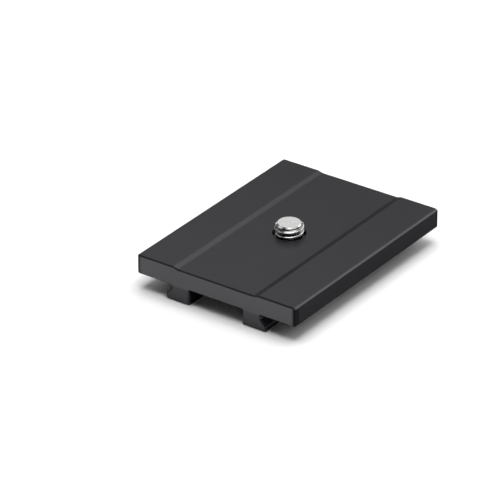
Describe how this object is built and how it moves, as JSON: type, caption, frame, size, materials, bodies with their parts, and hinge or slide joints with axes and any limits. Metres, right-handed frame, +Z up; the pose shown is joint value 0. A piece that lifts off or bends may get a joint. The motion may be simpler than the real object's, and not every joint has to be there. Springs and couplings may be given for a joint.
{
  "type": "tripod quick release plate",
  "caption": "Flat dovetail quick release plate with a shallow channel between two rails and a captive camera screw that stands up through its middle.",
  "frame": {"origin": "under the plate's middle, on the plane that the two feet of the dovetail stand on", "axes": "+Y along the dovetail, +X across it, +Z up through the camera screw towards the camera"},
  "size_m": [0.0608, 0.08, 0.0152],
  "materials": {
    "anodised_aluminium": "black anodised over fine bead blasting, satin",
    "bright_steel": "bright turned steel",
    "spring_steel": "blackened spring steel"
  },
  "bodies": {
    "plate": {"plate_body": "anodised_aluminium"},
    "ring": {"retaining_ring": "spring_steel"},
    "screw": {"camera_screw": "bright_steel"}
  },
  "joints": [
    {"name": "screw_lift", "type": "slide", "parent": "plate", "child": "ring", "axis": [0, 0, 1], "range_m": [0, 0.00125]},
    {"name": "screw_spin", "type": "hinge", "parent": "ring", "child": "screw", "pos_m": [0, 0, 0.01], "axis": [0, 0, 1], "continuous": true}
  ]
}
